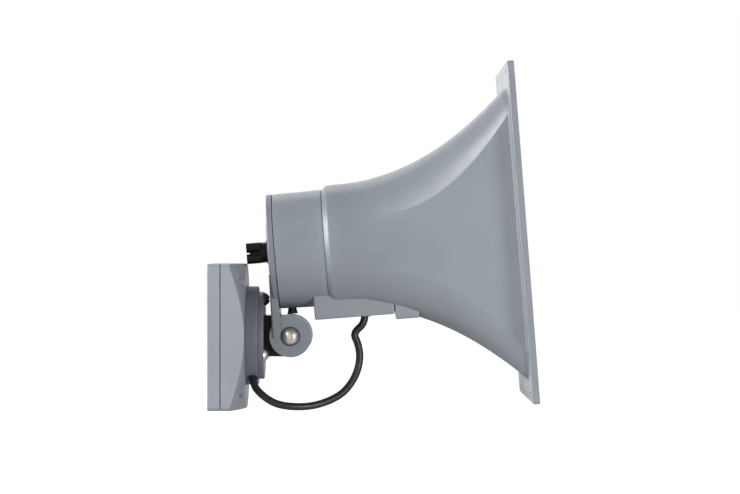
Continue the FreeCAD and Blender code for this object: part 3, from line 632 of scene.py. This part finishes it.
def cylinders(places, along, radius, low, high, around=32):
    """One mesh of equal cylinders along X or Z, at the places given as (other two coordinates)."""
    verts, faces = [], []
    for a, b in places:
        first = len(verts)
        for end in (low, high):
            for i in range(around):
                angle = 2 * math.pi * i / around
                c, d = a + radius * math.cos(angle), b + radius * math.sin(angle)
                point = (end, c, d) if along == "x" else (c, d, end)
                verts.append(Vector(point) * MM)
        second = first + around
        faces += [(first + i, first + (i + 1) % around, second + (i + 1) % around, second + i)
                  for i in range(around)]
        faces.append(tuple(first + i for i in range(around))[::-1])
        faces.append(tuple(second + i for i in range(around)))
    return verts, faces


def cut(obj, verts, faces):
    """Takes a closed mesh, given in the horn's frame, away from the object."""
    mesh = mesh_from("cutter", verts, faces)
    mesh.transform(HORN_MATRIX)
    face_outwards(mesh)
    cutter = add_object("cutter", mesh)
    boolean = obj.modifiers.new("cut", "BOOLEAN")
    boolean.operation = "DIFFERENCE"
    boolean.solver = "EXACT"
    boolean.use_self = True
    boolean.object = cutter
    apply_modifiers(obj)
    bpy.data.objects.remove(cutter)
    bpy.data.meshes.remove(mesh)


def horn_piece(obj, slot, *nodes):
    """Paints a piece, has it move with the horn, and puts it in the place of the nodes."""
    paint_piece(obj, slot)
    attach(obj, "horn")
    if nodes:
        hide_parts(*nodes)


HOLE_SIDE, HOLE_UP, HOLE_R = 70.0, FLANGE_HALF_HEIGHT - 7.5, 2.6
hole_places = [(y, z) for y in (-HOLE_SIDE, HOLE_SIDE) for z in (-HOLE_UP, HOLE_UP)]

bell = make_bell()
cut(bell, *cylinders(hole_places, "x", HOLE_R, MOUTH - 3, MOUTH + FLANGE_THICK + 3))
shade_by_angle(bell, 40)
horn_piece(bell, "bell_grey", "bell")

# ---- Lead cover and tongue, under the neck ----
SUNK = 1.4                    # how far the pieces under the neck reach into its wall


def underside(u, y):
    """Height of the bell's or the housing's underside at u and y, moved in by SUNK."""
    if u < FLARE_START:
        rise = min(max((u - BELL_REAR) / (NECK_START - BELL_REAR), 0.0), 1.0)
        return -math.sqrt((REAR_R + (NECK_R - 0.3 - REAR_R) * rise - SUNK) ** 2 - y * y)
    points = sorted(quarter_outline(u, -SUNK))
    for (y0, z0), (y1, z1) in zip(points, points[1:]):
        if y0 <= abs(y) <= y1 and y1 > y0:
            return -(z0 + (z1 - z0) * (abs(y) - y0) / (y1 - y0))
    raise SystemExit("no underside at this place")


def block_under_neck(name, rear, front, half_width, low, radius):
    """A block with rounded edges, closed above by the neck's own curve."""
    turns = [math.radians(15 * i) for i in range(7)]
    stations = [(rear + radius * (1 - math.cos(a)), radius * (1 - math.sin(a))) for a in turns]
    steps = max(2, int((front - rear) / 3.5))
    stations += [(rear + radius + (front - rear - 2 * radius) * i / steps, 0.0)
                 for i in range(1, steps)]
    stations += [(front - radius * (1 - math.cos(a)), radius * (1 - math.sin(a)))
                 for a in reversed(turns)]
    rings = []
    for u, inset in stations:
        side, floor = half_width - inset, low + inset
        corner = [(side - radius + radius * math.sin(a), floor + radius - radius * math.cos(a))
                  for a in turns]
        ring = [(-y, h) for y, h in reversed(corner)] + corner
        ring += [(side * (1 - i / 12), underside(u, side * (1 - i / 12))) for i in range(25)]
        rings.append(at(u, ring))
    verts, faces = bridged(rings)
    count = len(rings[0])
    faces.append(tuple(range(count))[::-1])
    faces.append(tuple(len(verts) - count + i for i in range(count)))
    mesh = mesh_from(name, verts, faces)
    mesh.transform(HORN_MATRIX)
    face_outwards(mesh)
    return add_object(name, mesh)


BLOCK_EDGE = 1.5
SCREW_PLACES, SCREW_RECESS_R = [(44.0, 0.0), (84.0, 0.0)], 3.0

cover = block_under_neck("lead_cover_shell", 22.5, 92.6, 30.0, -62.4, BLOCK_EDGE)
cut(cover, *cylinders(SCREW_PLACES, "z", SCREW_RECESS_R, -64.0, -60.8))
even_shading(cover, 40)
horn_piece(cover, "bell_grey", "lead_cover")

tongue = block_under_neck("bell_tongue", 93.2, 114.0, 31.0, -67.2, BLOCK_EDGE)
even_shading(tongue, 40)
horn_piece(tongue, "bell_grey")

# ---- Rounded edges on the CAD's own shapes ----
SOFT_EDGES = {
    "base_cover": 0.0004, "base_plate": 0.0004, "turntable_ring": 0.0004, "turntable_plate": 0.0004,
    "pivot_lug": 0.0008, "clamp_knob": 0.0005, "pivot_nut": 0.0006,
}
for soft_node, width in SOFT_EDGES.items():
    paint_piece(softened(soft_node, width), SLOT_OF[soft_node])

# ---- Stage and light ----
FLOOR_Z = -0.26               # low enough that no pose reaches it
FLOOR_HALF = 12.0
FLOOR_GLOW = 0.75
WORLD_LIGHT = 0.34
WHITE = (1.0, 1.0, 1.0, 1.0)


def make_stage():
    """A white floor, which the object neither reflects nor takes light from."""
    verts = [(x * FLOOR_HALF, y * FLOOR_HALF, FLOOR_Z)
             for x, y in ((-1, -1), (1, -1), (1, 1), (-1, 1))]
    floor = add_object("floor", mesh_from("floor", verts, [(0, 1, 2, 3)]))
    paint = Paint("floor")
    shade = paint.ranged(paint.noise(2.0), 0.9, 0.94)
    grey = paint.node("ShaderNodeCombineColor")
    for channel in ("Red", "Green", "Blue"):
        paint.link(shade, grey.inputs[channel])
    paint.wire(Base_Color=grey.outputs["Color"])
    paint.set(Roughness=0.9, Emission_Color=WHITE, Emission_Strength=FLOOR_GLOW)
    floor.data.materials.append(paint.material)
    floor.visible_diffuse = False
    floor.visible_glossy = False


def area_light(name, place, target, size, power):
    data = bpy.data.lights.new(name, "AREA")
    data.shape = "RECTANGLE"
    data.size, data.size_y = size
    data.energy = power
    light = bpy.data.objects.new(name, data)
    light.location = place
    light.rotation_euler = (Vector(target) - Vector(place)).to_track_quat("-Z", "Y").to_euler()
    light.visible_camera = False
    bpy.context.scene.collection.objects.link(light)


def make_world():
    """White behind the object, and a dimmer white as light."""
    world = bpy.data.worlds.new("world")
    world.use_nodes = True
    nodes, links = world.node_tree.nodes, world.node_tree.links
    background = nodes["Background"]
    background.inputs["Color"].default_value = WHITE
    background.inputs["Strength"].default_value = WORLD_LIGHT
    seen = nodes.new("ShaderNodeBackground")
    seen.inputs["Color"].default_value = WHITE
    seen.inputs["Strength"].default_value = 1.0
    mixed = nodes.new("ShaderNodeMixShader")
    links.new(nodes.new("ShaderNodeLightPath").outputs["Is Camera Ray"], mixed.inputs["Fac"])
    links.new(background.outputs["Background"], mixed.inputs[1])
    links.new(seen.outputs["Background"], mixed.inputs[2])
    links.new(mixed.outputs["Shader"], nodes["World Output"].inputs["Surface"])
    bpy.context.scene.world = world
    bpy.context.scene.view_settings.view_transform = "Standard"


def make_light():
    centre = (0.14, 0.0, 0.08)
    area_light("left_softbox", (-1.55, -0.35, 0.6), centre, (1.0, 1.1), 54.0)
    area_light("crease_softbox", (-1.16, -1.24, 1.04), centre, (0.5, 0.45), 10.0)
    area_light("right_softbox", (1.6, -2.1, 0.05), centre, (0.7, 0.6), 55.0)
    area_light("table_bounce", (-0.1, -0.6, -0.25), (0.0, -0.35, 0.3), (3.0, 2.2), 10.0)
    area_light("mouth_softbox", (2.3, 0.3, 0.9), centre, (1.2, 1.0), 24.0)
    area_light("rear_softbox", (0.2, 1.3, 1.4), centre, (1.6, 0.8), 8.0)
    area_light("back_screen", (0.1, 2.2, 0.5), (0.1, 0.0, 0.5), (2.6, 1.4), 17.0)


make_stage()
make_world()
make_light()
